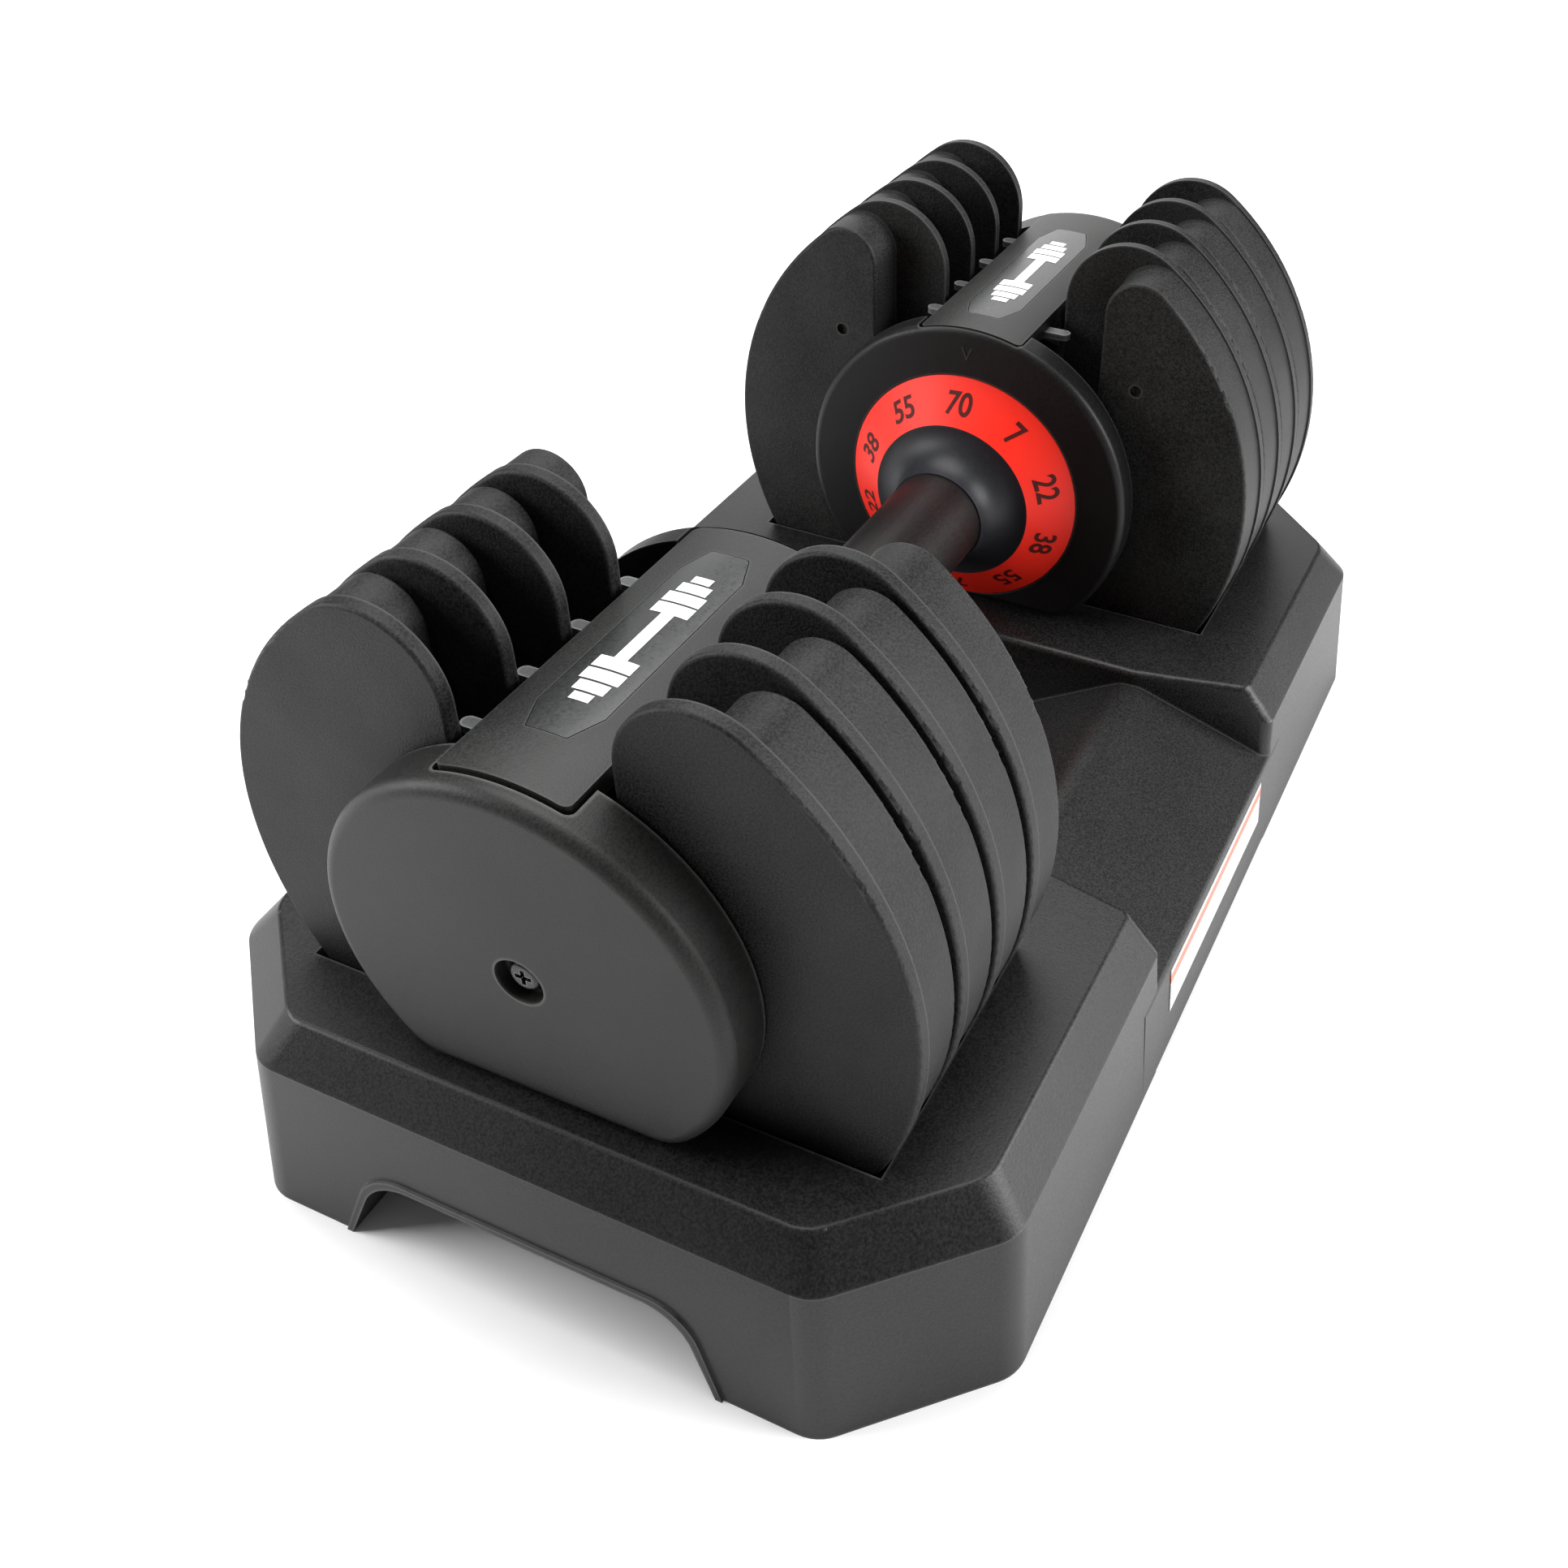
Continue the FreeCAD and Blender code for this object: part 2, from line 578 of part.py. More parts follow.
def cap_screw():
    """Pan-head screw with a cross recess that holds the cap on the rod."""
    seat = ROD_END + CAP_FACE_T
    top = seat + SCREW_HEAD_T
    head = cyl(SCREW_HEAD_R, seat, top)
    crown = edges_where(head, lambda edge: lowest(edge, "X") > top - TOUCH)
    head = head.makeFillet(SCREW_HEAD_T / 2, crown)
    for half_y, half_z in ((CROSS_HALF, CROSS_REACH), (CROSS_REACH, CROSS_HALF)):
        head = head.cut(block(top - CROSS_DEPTH, top + OVER, -half_y, half_y, -half_z, half_z))
    return on_axis(head.fuse(cyl(SCREW_R, seat - SCREW_L, seat)))


def top_bridge():
    """Curved strip that ties bezel and cap together, with a pocket for the badge."""
    strip = ring(BRIDGE_R, BRIDGE_ROOF, BEZEL_X, CAP_FACE_X).common(bridge_plan(0.0))
    pocket = ring(HEAD_R, BRIDGE_R - BADGE_T, BEZEL_X, CAP_FACE_X).common(badge_plan(BADGE_GAP))
    strip = strip.cut(pocket)
    for index in range(1, PLATE_COUNT + 1):
        strip = strip.cut(comb_ears(index, FREE))
    return on_axis(strip)


def badge_plate():
    return on_axis(ring(BRIDGE_R, BRIDGE_R - BADGE_T, BEZEL_X, CAP_FACE_X).common(badge_plan(0.0)))


def comb_ears(index, grow):
    """Bar with round ends under the bridge; its ends are the two ears beside plate `index`."""
    seam = STACK_X + index * PLATE_PITCH - PLATE_GAP - FLANGE_T
    radius = EAR_W / 2 + grow
    middle = seam - EAR_GAP - EAR_W / 2
    tip_y = BRIDGE_HALF + EAR_OUT - EAR_W / 2
    high = BRIDGE_R - EAR_DROP + grow
    low = high - EAR_T - grow * 2
    bar = block(middle - radius, middle + radius, -tip_y, tip_y, low, high)
    for side in (-1, 1):
        bar = bar.fuse(Part.makeCylinder(radius, high - low, V(middle, side * tip_y, low)))
    return bar


def comb_web(index):
    """Disc on a stem beside plate `index`, with room for the spools."""
    low = STACK_X + (index - 1) * PLATE_PITCH + WEB_INSET
    high = low + WEB_T
    stem = block(low, high, -SPINE_HALF, SPINE_HALF, 0, BRIDGE_ROOF - SPINE_T / 2)
    return cyl(WEB_R, low, high).fuse(stem).cut(cyl(SPOOL_R + SPOOL_CLEAR, low, high))


def spacer_comb():
    """Spine from bezel to cap under the bridge, with one web and one pair of ears for every plate."""
    spine = ring(BRIDGE_ROOF, BRIDGE_ROOF - SPINE_T, BEZEL_BACK, CAP_X)
    comb = spine.common(block(BEZEL_BACK, CAP_X, -SPINE_HALF, SPINE_HALF, 0, HEAD_R))
    for index in range(1, PLATE_COUNT + 1):
        comb = comb.fuse(comb_web(index)).fuse(comb_ears(index, 0.0))
    return on_axis(comb.removeSplitter())


def core_rod():
    """Full-length rod with a screw hole in each end."""
    rod = cyl(ROD_R, -ROD_END, ROD_END)
    bottom = ROD_END - (SCREW_L - CAP_FACE_T) - OVER
    hole = cyl(SCREW_R + RUN, bottom, ROD_END + OVER)
    for side, sign in SIDES:
        rod = rod.cut(for_side(hole, sign))
    return on_axis(rod)


def lock_slider():
    """Flat slider with a tooth that drops to just above the index wheel once off the tray."""
    stop = SLIDER_X + SLIDER_T
    low = TOP_Z + POST_H + FREE - AXIS_Z
    body = block(SLIDER_X, stop, -SLIDER_HALF, SLIDER_HALF, low, SLIDER_TOP)
    half = ROD_R + FREE * 2
    window = block(SLIDER_X, stop, -half, half, -half, half + SLIDER_DROP)
    tooth = block(WHEEL_X + FREE, stop, -TOOTH_HALF, TOOTH_HALF, TOOTH_LOW, SLIDER_TOP)
    return on_axis(body.cut(window).fuse(tooth))


def lock_spring():
    """Helical compression spring between the slider and its seat in the cap."""
    rise = SPRING_H - WIRE_R * 2 - FREE
    helix = Part.makeHelix(rise / SPRING_TURNS, rise, SPRING_R)
    section = Part.Wire(Part.makeCircle(WIRE_R, helix.Vertexes[0].Point, V(0, 1, 0)))
    coil = Part.Wire(helix).makePipeShell([section], True, True)
    coil.translate(V(SLIDER_MID, 0, SLIDER_TOP + WIRE_R + RUN))
    return on_axis(coil)


# ---------------------------------------------------------------- turning handle

def handle_tube():
    return on_axis(ring(TUBE_R, BUSH_R, -WHEEL_END, WHEEL_END))


def grip_sleeve():
    return on_axis(ring(GRIP_R, TUBE_R, -GRIP_HALF, GRIP_HALF))


def end_bush():
    return on_axis(ring(BUSH_R, ROD_R + RUN, WHEEL_END - BUSH_L, WHEEL_END))


def hub_cone():
    """Trumpet-shaped collar between the grip and the dial, with a drum behind the dial."""
    start_r = GRIP_R + HUB_STEP
    seat_r = DIAL_IN_R - RUN
    back = BEZEL_X + HUB_BACK
    start = V(GRIP_HALF, 0, start_r)
    middle = V((GRIP_HALF + DIAL_IN_X) / 2 + HUB_LAG, 0, start_r + HUB_SWELL)
    flare_end = V(DIAL_IN_X, 0, seat_r)
    flare = Part.Arc(start, middle, flare_end).toShape()
    rest = Part.makePolygon([
        flare_end, V(DIAL_IN_X + DIAL_T + RUN, 0, seat_r),
        V(BEZEL_X + DIAL_T + RUN, 0, DIAL_OUT_R), V(back, 0, DIAL_OUT_R),
        V(back, 0, TUBE_R), V(GRIP_HALF, 0, TUBE_R), start,
    ])
    profile = Part.Face(Part.Wire([flare] + rest.Edges))
    return on_axis(profile.revolve(V(0, 0, 0), V(1, 0, 0), 360))


def dial_ring():
    """Conical ring that carries the numbers."""
    points = [
        V(DIAL_IN_X, 0, DIAL_IN_R), V(BEZEL_X, 0, DIAL_OUT_R),
        V(BEZEL_X + DIAL_T, 0, DIAL_OUT_R), V(DIAL_IN_X + DIAL_T, 0, DIAL_IN_R),
    ]
    profile = Part.Face(Part.makePolygon(points + points[:1]))
    return on_axis(profile.revolve(V(0, 0, 0), V(1, 0, 0), 360))


def lug(centre_deg, half_deg, x_low, x_high):
    """Sector of a disc; its centre angle is taken from +Z turning towards -Y."""
    solid = Part.makeCylinder(LUG_R, x_high - x_low, V(0, 0, 0), V(0, 0, 1), half_deg * 2)
    solid.rotate(V(0, 0, 0), V(0, 1, 0), 90)
    solid.rotate(V(0, 0, 0), V(1, 0, 0), 180 + centre_deg - half_deg)
    solid.translate(V(x_low, 0, 0))
    return solid


def selector_disc(index, sign):
    """Spool on the tube with two opposite lugs; inner plates have the longer lugs."""
    outer = STACK_X + index * PLATE_PITCH - PLATE_GAP
    start = BEZEL_X + HUB_BACK + RUN if index == 1 else outer - PLATE_PITCH + RUN
    stop = outer if index < PLATE_COUNT else WHEEL_X - RUN
    later = PLATE_COUNT - index
    half = LUG_HALF_DEG + STEP_DEG / 2 * later
    centre = sign * (90 - STEP_DEG / 2 * later)
    high = outer - FLANGE_T - LUG_FROM_FLANGE
    disc = cyl(SPOOL_R, start, stop)
    for turn in (0, 180):
        disc = disc.fuse(lug(centre + turn, half, high - LUG_T, high))
    return on_axis(disc.cut(cyl(TUBE_R, start - OVER, stop + OVER)).removeSplitter())


def index_wheel():
    """Notched wheel under the lock tooth, one notch for each dial position."""
    wheel = ring(WHEEL_R, TUBE_R, WHEEL_X, WHEEL_END)
    for index in range(NOTCH_COUNT):
        notch = block(WHEEL_X, WHEEL_END, -NOTCH_HALF, NOTCH_HALF, WHEEL_R - NOTCH_DEPTH, WHEEL_R + OVER)
        notch.rotate(V(0, 0, 0), V(1, 0, 0), STEP_DEG * index)
        wheel = wheel.cut(notch)
    return on_axis(wheel)


def main():
    os.makedirs("parts", exist_ok=True)
    export(base_tray(), "base_tray")
    export(rubber_feet(), "rubber_feet")
    export(side_label(), "side_label")
    export(core_rod(), "core_rod")
    export(handle_tube(), "handle_tube")
    export(grip_sleeve(), "grip_sleeve")
    pair_pieces = (
        ("inner_bezel", inner_bezel), ("outer_cap", outer_cap), ("cap_screw", cap_screw),
        ("top_bridge", top_bridge), ("badge_plate", badge_plate), ("spacer_comb", spacer_comb),
        ("lock_slider", lock_slider), ("lock_spring", lock_spring), ("end_bush", end_bush),
        ("hub_cone", hub_cone), ("dial_ring", dial_ring), ("index_wheel", index_wheel),
    )
    for side, sign in SIDES:
        for name, make in pair_pieces:
            export(for_side(make(), sign), name + "_" + side)
        for index in range(1, PLATE_COUNT + 1):
            export(for_side(plate(index), sign), "weight_plate_%d_%s" % (index, side))
            export(for_side(selector_disc(index, sign), sign), "selector_disc_%d_%s" % (index, side))


main()
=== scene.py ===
import bmesh
import bpy
import json
import math
from mathutils import Matrix, Vector

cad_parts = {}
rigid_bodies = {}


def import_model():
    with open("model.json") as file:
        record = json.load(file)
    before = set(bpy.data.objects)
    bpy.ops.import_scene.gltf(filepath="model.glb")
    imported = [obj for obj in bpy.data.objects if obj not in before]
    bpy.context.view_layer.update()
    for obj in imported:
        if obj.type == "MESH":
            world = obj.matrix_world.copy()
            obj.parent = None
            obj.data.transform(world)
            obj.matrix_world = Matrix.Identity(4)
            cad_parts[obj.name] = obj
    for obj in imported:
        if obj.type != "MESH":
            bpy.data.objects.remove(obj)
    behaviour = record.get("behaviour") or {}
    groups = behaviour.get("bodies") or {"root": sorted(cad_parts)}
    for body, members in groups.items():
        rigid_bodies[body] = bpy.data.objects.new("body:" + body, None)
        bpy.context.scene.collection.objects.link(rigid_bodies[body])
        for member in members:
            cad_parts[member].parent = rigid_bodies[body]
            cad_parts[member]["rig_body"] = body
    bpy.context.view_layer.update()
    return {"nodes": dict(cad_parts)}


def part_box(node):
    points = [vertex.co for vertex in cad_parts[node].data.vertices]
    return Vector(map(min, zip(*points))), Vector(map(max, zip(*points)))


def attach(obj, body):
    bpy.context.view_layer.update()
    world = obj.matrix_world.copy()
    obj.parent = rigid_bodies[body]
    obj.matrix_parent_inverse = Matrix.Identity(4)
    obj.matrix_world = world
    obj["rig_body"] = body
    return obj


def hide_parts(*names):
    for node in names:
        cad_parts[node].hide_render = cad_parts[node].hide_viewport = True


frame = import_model()
SIDES = (("left", -1), ("right", 1))

# ---- Viewpoint ----
# A 37 mm lens stands off one end of the dumbbell and looks down along the handle.
# The lens is shifted a little sideways, so the dumbbell sits off its middle.
EYE = Vector((-0.4236, -0.2123, 0.4260))
TURN = math.radians(-65.53)
TILT = math.radians(39.49)
ROLL = math.radians(0.86)
across = Vector((math.cos(TURN), math.sin(TURN), 0))
behind = Vector((math.sin(TURN) * math.cos(TILT), -math.cos(TURN) * math.cos(TILT), math.sin(TILT)))
upward = behind.cross(across)
level = Matrix((across, upward, behind)).transposed().to_4x4()
lens = bpy.data.cameras.new("viewpoint")
lens.sensor_width = 36
lens.lens = 37.12
lens.shift_x = -0.0882
lens.shift_y = -0.0110
lens.clip_start = 0.01
camera = bpy.data.objects.new("viewpoint", lens)
camera.matrix_world = Matrix.Translation(EYE) @ level @ Matrix.Rotation(ROLL, 4, "Z")
bpy.context.scene.collection.objects.link(camera)
bpy.context.scene.camera = camera
bpy.context.scene.view_settings.view_transform = "Standard"

# ---- Floor ----
# A white painted board, wide enough to fill every view.
# Matt emulsion: no gloss, the faintest mottling, so contact shadows stay soft.


def srgb(code):
    """Linear colour from a hex code."""
    parts = [int(code[i:i + 2], 16) / 255 for i in (1, 3, 5)]
    return [c / 12.92 if c <= 0.04045 else ((c + 0.055) / 1.055) ** 2.4 for c in parts] + [1]


def add(material, kind, inputs=None, **settings):
    """Adds a node; each input gets a value or is linked from another node's output."""
    node = material.node_tree.nodes.new("ShaderNode" + kind)
    for key, value in settings.items():
        setattr(node, key, value)
    for key, value in (inputs or {}).items():
        if isinstance(value, bpy.types.NodeSocket):
            material.node_tree.links.new(value, node.inputs[key])
        else:
            node.inputs[key].default_value = value
    return node


def begin(name, roughness, ior=1.5, metallic=0.0, sheen=0.5):
    """A new material with its surface shader and the part's own coordinates in metres."""
    material = bpy.data.materials.new(name)
    material.use_nodes = True
    shader = material.node_tree.nodes["Principled BSDF"]
    shader.inputs["Roughness"].default_value = roughness
    shader.inputs["IOR"].default_value = ior
    shader.inputs["Metallic"].default_value = metallic
    shader.inputs["Specular IOR Level"].default_value = sheen
    place = add(material, "TexCoord").outputs["Object"]
    return material, shader, place


def feed(material, shader, **links):
    """Joins node outputs to named inputs of the surface shader."""
    for name, output in links.items():
        material.node_tree.links.new(output, shader.inputs[name.replace("_", " ")])


FLOOR_HALF = 6.0
emulsion, shader, place = begin("white_emulsion", 0.9)
mottle = add(emulsion, "TexNoise", {"Vector": place, "Scale": 40.0}).outputs["Fac"]
shade = add(emulsion, "Mix", {0: mottle, 6: srgb("#f6f6f6"), 7: srgb("#fbfbfb")}, data_type="RGBA")
feed(emulsion, shader, Base_Color=shade.outputs[2])
board = bpy.data.meshes.new("floor_board")
corners = [(-FLOOR_HALF, -FLOOR_HALF, 0), (FLOOR_HALF, -FLOOR_HALF, 0),
           (FLOOR_HALF, FLOOR_HALF, 0), (-FLOOR_HALF, FLOOR_HALF, 0)]
board.from_pydata(corners, [], [(0, 1, 2, 3)])
board.materials.append(emulsion)
floor = bpy.data.objects.new("floor_board", board)
bpy.context.scene.collection.objects.link(floor)

# ---- Light ----
# A dim white tent with four soft boxes: a key close to the near end on the left, a large one
# overhead that keeps the floor white, a low one on the right for the rims, and one behind for gloss.
tent = bpy.data.worlds.new("white_tent")
tent.use_nodes = True
tent.node_tree.nodes["Background"].inputs["Color"].default_value = (1, 1, 1, 1)
tent.node_tree.nodes["Background"].inputs["Strength"].default_value = 0.17
bpy.context.scene.world = tent
SOFT_BOXES = (
    ("key_box", (-0.45, 0.66, 0.46), 0.4, 5),
    ("top_box", (0.3, 0.3, 1.8), 1.5, 46),
    ("rim_box", (0.5, -1.5, 0.8), 1.0, 40),
    ("gloss_box", (1.5, 0.6, 0.55), 1.2, 9),
)
for name, spot, width, watts in SOFT_BOXES:
    glow = bpy.data.lights.new(name, "AREA")
    glow.shape = "SQUARE"
    glow.size = width
    glow.energy = watts
    lamp = bpy.data.objects.new(name, glow)
    lamp.location = spot
    lamp.rotation_euler = (Vector((0, 0, 0.1)) - Vector(spot)).to_track_quat("-Z", "Y").to_euler()
    bpy.context.scene.collection.objects.link(lamp)

# ---- Base tray ----
# One injection moulding in black polypropylene, with a finely grained skin.
# The grain scatters light; edges are rounded by the mould and painted lighter, partly as polish where
# plates slide in and partly as a painted highlight.
WELD = 1e-6
FLAT = math.radians(0.1)
# Size of the patches that break up the pale edges, which are partly wear and partly painted highlight.
WEAR_AND_HIGHLIGHT_PATCH_MM = 6.0


def softened(node, round_mm, sharp=32, steps=3):
    """A CAD solid's own surface, welded, with its hard edges rounded, standing for the node."""
    source = frame["nodes"][node]
    mesh = source.data.copy()
    mesh.materials.clear()
    piece = bpy.data.objects.new(node + "_skin", mesh)
    bpy.context.scene.collection.objects.link(piece)
    form = bmesh.new()
    form.from_mesh(mesh)
    bmesh.ops.remove_doubles(form, verts=form.verts, dist=WELD)
    bmesh.ops.dissolve_limit(form, angle_limit=FLAT, verts=form.verts, edges=form.edges)
    form.to_mesh(mesh)
    form.free()
    edge = piece.modifiers.new("rounded_edges", "BEVEL")
    edge.limit_method = "ANGLE"
    edge.angle_limit = math.radians(sharp)
    edge.width = round_mm / 1000
    edge.segments = steps
    edge.use_clamp_overlap = True
    applied(piece)
    smooth(piece, 40)
    even = piece.modifiers.new("flat_faces_stay_flat", "WEIGHTED_NORMAL")
    even.keep_sharp = True
    applied(piece)
    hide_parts(node)
    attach(piece, source["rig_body"])
    return piece


def applied(piece):
    """Turns the piece's modifiers into plain mesh."""
    seen = piece.evaluated_get(bpy.context.evaluated_depsgraph_get())
    piece.data = bpy.data.meshes.new_from_object(seen)
    piece.modifiers.clear()


def smooth(piece, sharp):
    """Smooth shading everywhere but on edges sharper than the given angle."""
    piece.data.polygons.foreach_set("use_smooth", [True] * len(piece.data.polygons))
    piece.data.set_sharp_from_angle(angle=math.radians(sharp))


def noise(material, place, size_mm, detail):
    """Soft random patches of the given size."""
    patches = {"Vector": place, "Scale": 1000 / size_mm, "Detail": detail}
    return add(material, "TexNoise", patches).outputs["Fac"]


def wear_and_highlight_mask(material, place, reach_mm, patch_mm):
    """1 on rounded edges, broken up in patches, 0 on open faces: where edges pale as wear and as painted
    highlight.
    """
    soft = add(material, "Bevel", {"Radius": reach_mm / 1000}, samples=6).outputs["Normal"]
    true = add(material, "NewGeometry").outputs["Normal"]
    flat = add(material, "VectorMath", {0: soft, 1: true}, operation="DOT_PRODUCT").outputs["Value"]
    edge = add(material, "MapRange", {"Value": flat, "From Min": 0.995, "From Max": 0.93}).outputs["Result"]
    patch = noise(material, place, patch_mm, 3.0)
    wear_and_highlight = add(material, "MapRange", {"Value": patch, "From Min": 0.05, "From Max": 0.40}).outputs["Result"]
    return add(material, "Math", {0: edge, 1: wear_and_highlight}, operation="MULTIPLY").outputs[0]


def moulded(name, dark, light, worn_and_lit, grain_mm, grain_deep_mm, roughness,
            reach_mm=1.4, cloud_mm=45, sheen=0.35):
    """Grained moulding: clouded between two shades, finely pitted, and paler along its edges, partly as
    wear and partly as painted highlight.
    """
    material, shader, place = begin(name, roughness, sheen=sheen)
    cloud = noise(material, place, cloud_mm, 5.0)
    grain = noise(material, place, grain_mm, 2.0)
    blend = add(material, "Math", {0: grain, 1: 2.0, 2: cloud}, operation="MULTIPLY_ADD").outputs[0]
    share = add(material, "MapRange", {"Value": blend, "From Min": 1.1, "From Max": 1.9}).outputs["Result"]
    shade = add(material, "Mix", {0: share, 6: srgb(dark), 7: srgb(light)}, data_type="RGBA").outputs[2]
    # Edges pale towards the worn colour: partly rubbed wear, partly a painted highlight along the rounded
    # rims.
    wear_and_highlight = wear_and_highlight_mask(material, place, reach_mm, WEAR_AND_HIGHLIGHT_PATCH_MM)
    shade = add(material, "Mix", {0: wear_and_highlight, 6: shade, 7: srgb(worn_and_lit)}, data_type="RGBA").outputs[2]
    spread = {"Value": grain, "To Min": roughness - 0.10, "To Max": roughness + 0.12}
    matt = add(material, "MapRange", spread).outputs["Result"]
    bump = add(material, "Bump", {"Height": grain, "Strength": 0.6, "Distance": grain_deep_mm / 1000})
    feed(material, shader, Base_Color=shade, Roughness=matt, Normal=bump.outputs["Normal"])
    return material


polypropylene = moulded("black_polypropylene", "#0a0a0a", "#232323", "#4c4c4c", 0.8, 0.10, 0.40,
                        cloud_mm=60)
tray = softened("base_tray", 1.0)
tray.data.materials.append(polypropylene)

# ---- Tray feet and sticker ----
# Four glued discs of black rubber under the tray, and a printed film sticker on one side wall.
# Rubber has no gloss; the film is smooth white with a coloured header band and fine grey rules.
rubber = moulded("foot_rubber", "#161616", "#1d1d1d", "#262626", 0.8, 0.05, 0.85)


def finish_nodes(names, material):
    """Puts one material on CAD nodes that are shown as they are."""
    for name in names:
        node = frame["nodes"][name]
        node.data.materials.clear()
        node.data.materials.append(material)
        smooth(node, 30)


finish_nodes(["rubber_feet"], rubber)
low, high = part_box("side_label")
LINE_PITCH = 0.9
LINE_SHARE = 0.45
HEADER_TOP_MM = 2.0
HEADER_MM = 4.0
LINES_TOP_MM = 7.2
LINES_END_MM = 13.2
film, shader, place = begin("printed_film", 0.28)
axes = add(film, "SeparateXYZ", {0: place})
down = add(film, "MapRange", {"Value": axes.outputs["Z"], "From Min": high.z, "From Max": low.z,
                              "To Min": 0.0, "To Max": (high.z - low.z) * 1000}, clamp=False)
down = down.outputs["Result"]
under = add(film, "Math", {0: down, 1: HEADER_TOP_MM}, operation="GREATER_THAN").outputs[0]
over = add(film, "Math", {0: down, 1: HEADER_TOP_MM + HEADER_MM}, operation="LESS_THAN").outputs[0]
header = add(film, "Math", {0: under, 1: over}, operation="MULTIPLY").outputs[0]
rows = add(film, "Math", {0: down, 1: LINE_PITCH}, operation="MODULO").outputs[0]
rule = add(film, "Math", {0: rows, 1: LINE_PITCH * LINE_SHARE}, operation="LESS_THAN").outputs[0]
below = add(film, "Math", {0: down, 1: LINES_TOP_MM}, operation="GREATER_THAN").outputs[0]
above = add(film, "Math", {0: down, 1: LINES_END_MM}, operation="LESS_THAN").outputs[0]
block = add(film, "Math", {0: below, 1: above}, operation="MULTIPLY").outputs[0]
words = add(film, "Mapping", {"Vector": place, "Scale": (900, 1, 1100)}).outputs[0]
broken = add(film, "TexNoise", {"Vector": words, "Scale": 1.0}).outputs["Fac"]
ink = add(film, "MapRange", {"Value": broken, "From Min": 0.40, "From Max": 0.52}).outputs["Result"]
rule = add(film, "Math", {0: rule, 1: block}, operation="MULTIPLY").outputs[0]
rule = add(film, "Math", {0: rule, 1: ink}, operation="MULTIPLY").outputs[0]
paper = add(film, "Mix", {0: rule, 6: srgb("#c4c4c2"), 7: srgb("#6e6e6c")}, data_type="RGBA").outputs[2]
paper = add(film, "Mix", {0: header, 6: paper, 7: srgb("#d8552f")}, data_type="RGBA").outputs[2]
feed(film, shader, Base_Color=paper)
finish_nodes(["side_label"], film)

# ---- Weight plates ----
# Cast iron, dipped in a matt black coating that fills the cast skin but leaves it slightly rough.
# The sandy skin breaks up highlights, and edges are painted a little greyer, partly as wear where plates
# knock together and partly as a painted highlight.
coated_iron = moulded("coated_cast_iron", "#050505", "#2a2b2a", "#424342", 0.7, 0.22, 0.55, 1.3, 30,
                      sheen=0.25)
for side, _ in SIDES:
    for index in range(1, 5):
        plate = softened("weight_plate_%d_%s" % (index, side), 0.7, 60)
        plate.data.materials.append(coated_iron)

# ---- Grip and hubs ----
# The grip is a sleeve of firm rubber pressed on the tube; its satin skin reflects a little.
# The trumpet-shaped hubs are glass-filled nylon with a smoother, glossier moulded face.
grip_rubber = moulded("satin_grip_rubber", "#080606", "#110d0e", "#181415", 0.8, 0.02, 0.40)
finish_nodes(["grip_sleeve"], grip_rubber)
hub_nylon = moulded("satin_hub_nylon", "#15161a", "#1c1d22", "#23242a", 1.0, 0.005, 0.46, sheen=0.35)
finish_nodes(["hub_cone_left", "hub_cone_right"], hub_nylon)

# ---- Number dials ----
# Conical rings moulded in red ABS, with numbers printed in dark maroon around them.
# Satin red with a soft sheen; the print is duller than the ring.
dial_abs, shader, place = begin("red_abs", 0.5, sheen=0.35)
tint = add(dial_abs, "TexNoise", {"Vector": place, "Scale": 60.0, "Detail": 3.0}).outputs["Fac"]
shade = add(dial_abs, "Mix", {0: tint, 6: srgb("#f4220f"), 7: srgb("#fb2c18")}, data_type="RGBA").outputs[2]
grain = add(dial_abs, "TexNoise", {"Vector": place, "Scale": 1400.0}).outputs["Fac"]
bump = add(dial_abs, "Bump", {"Height": grain, "Strength": 0.25, "Distance": 0.00005})
feed(dial_abs, shader, Base_Color=shade, Normal=bump.outputs["Normal"])
finish_nodes(["dial_ring_left", "dial_ring_right"], dial_abs)

ink, shader, place = begin("maroon_print", 0.6, sheen=0.25)
tint = add(ink, "TexNoise", {"Vector": place, "Scale": 500.0}).outputs["Fac"]
shade = add(ink, "Mix", {0: tint, 6: srgb("#400b08"), 7: srgb("#50100c")}, data_type="RGBA").outputs[2]
feed(ink, shader, Base_Color=shade)
WEIGHTS = ("70", "7", "22", "38", "55") * 2
STEP = math.radians(36)
DIGIT_MM = 8.8
DIGIT_SHARE = 0.729
DIGIT_NARROW = 0.86
STROKE_GROW = 0.00022
PRINT_LIFT = 0.00012
MID_SHARE = 0.48
AXIS = sum(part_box("grip_sleeve"), Vector()) / 2
ring_points = frame["nodes"]["dial_ring_right"].data.vertices
rims = [(v.co.x, math.hypot(v.co.y, v.co.z - AXIS.z)) for v in ring_points]
widest = max(r for x, r in rims) - WELD
RING_IN_X, RING_IN_R = min(rims)
RING_OUT_X, RING_OUT_R = min((x, r) for x, r in rims if r > widest)


def digits_flat(text):
    """Filled outline of a number, its middle at the origin, one unit for each metre."""
    curve = bpy.data.curves.new("digits", "FONT")
    curve.body = text
    curve.size = DIGIT_MM / 1000 / DIGIT_SHARE
    curve.align_x = "CENTER"
    curve.align_y = "CENTER"
    curve.offset = STROKE_GROW
    shape = bpy.data.objects.new("digits", curve)
    bpy.context.scene.collection.objects.link(shape)
    bpy.context.view_layer.update()
    seen = shape.evaluated_get(bpy.context.evaluated_depsgraph_get())
    mesh = bpy.data.meshes.new_from_object(seen)
    bpy.data.objects.remove(shape)
    middle = (max(v.co.y for v in mesh.vertices) + min(v.co.y for v in mesh.vertices)) / 2
    points = [(v.co.x * DIGIT_NARROW, v.co.y - middle) for v in mesh.vertices]
    faces = [tuple(p.vertices) for p in mesh.polygons]
    return points, faces


